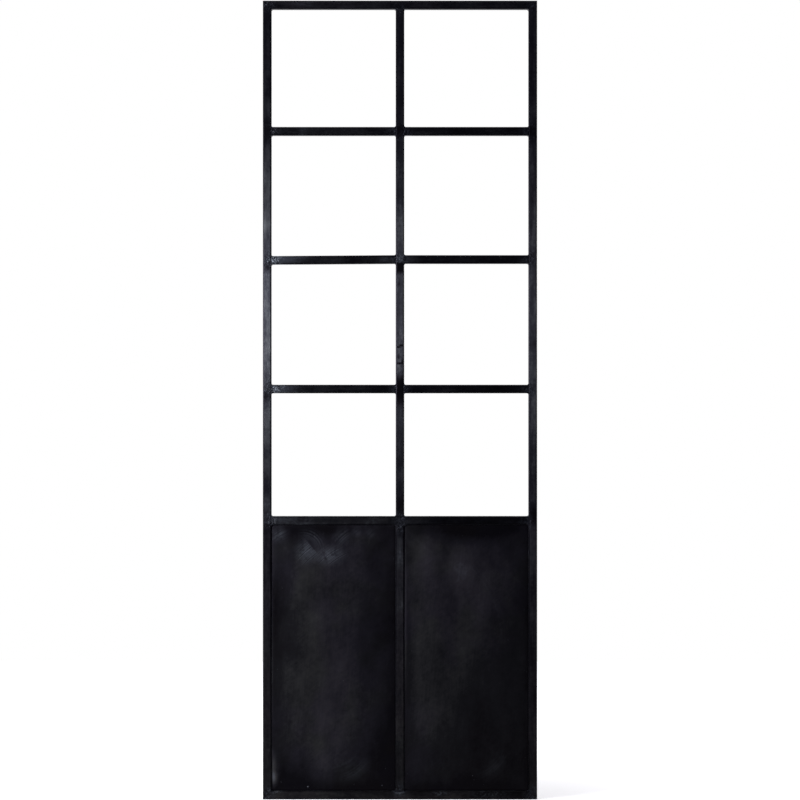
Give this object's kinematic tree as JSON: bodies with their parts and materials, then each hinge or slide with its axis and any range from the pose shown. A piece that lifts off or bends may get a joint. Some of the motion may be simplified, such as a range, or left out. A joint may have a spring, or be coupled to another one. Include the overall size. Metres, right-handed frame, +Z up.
{
  "type": "iron partition wall",
  "caption": "Tall narrow partition of welded square steel tube: mullion and cross bars frame open lights over a mid rail, with recessed sheet steel panels at the foot.",
  "frame": {"origin": "middle of the bottom rail's underside, on the floor", "axes": "+Z up, +X to the right seen from the front, the front faces -Y"},
  "size_m": [0.8, 0.025, 2.33],
  "materials": {
    "frame_tube": "blackened and waxed mild steel, satin, joints ground flush",
    "panel_sheet": "blackened and waxed sheet steel with grinding and brush marks",
    "weld_metal": "blackened weld metal, dressed by hand"
  },
  "bodies": {
    "root": {"left_stile": "frame_tube", "right_stile": "frame_tube", "top_rail": "frame_tube", "bottom_rail": "frame_tube", "mid_rail": "frame_tube", "upper_mullion": "frame_tube", "lower_mullion": "frame_tube", "right_upper_bar": "frame_tube", "left_upper_bar": "frame_tube", "right_middle_bar": "frame_tube", "left_middle_bar": "frame_tube", "right_lower_bar": "frame_tube", "left_lower_bar": "frame_tube", "left_panel": "panel_sheet", "right_panel": "panel_sheet", "left_panel_front_seam": "weld_metal", "left_panel_back_seam": "weld_metal", "right_panel_front_seam": "weld_metal", "right_panel_back_seam": "weld_metal", "top_rail_welds": "weld_metal", "left_upper_bar_welds": "weld_metal", "right_upper_bar_welds": "weld_metal", "left_middle_bar_welds": "weld_metal", "right_middle_bar_welds": "weld_metal", "left_lower_bar_welds": "weld_metal", "right_lower_bar_welds": "weld_metal", "mid_rail_welds": "weld_metal", "mullion_welds": "weld_metal", "bottom_rail_welds": "weld_metal"}
  },
  "joints": []
}
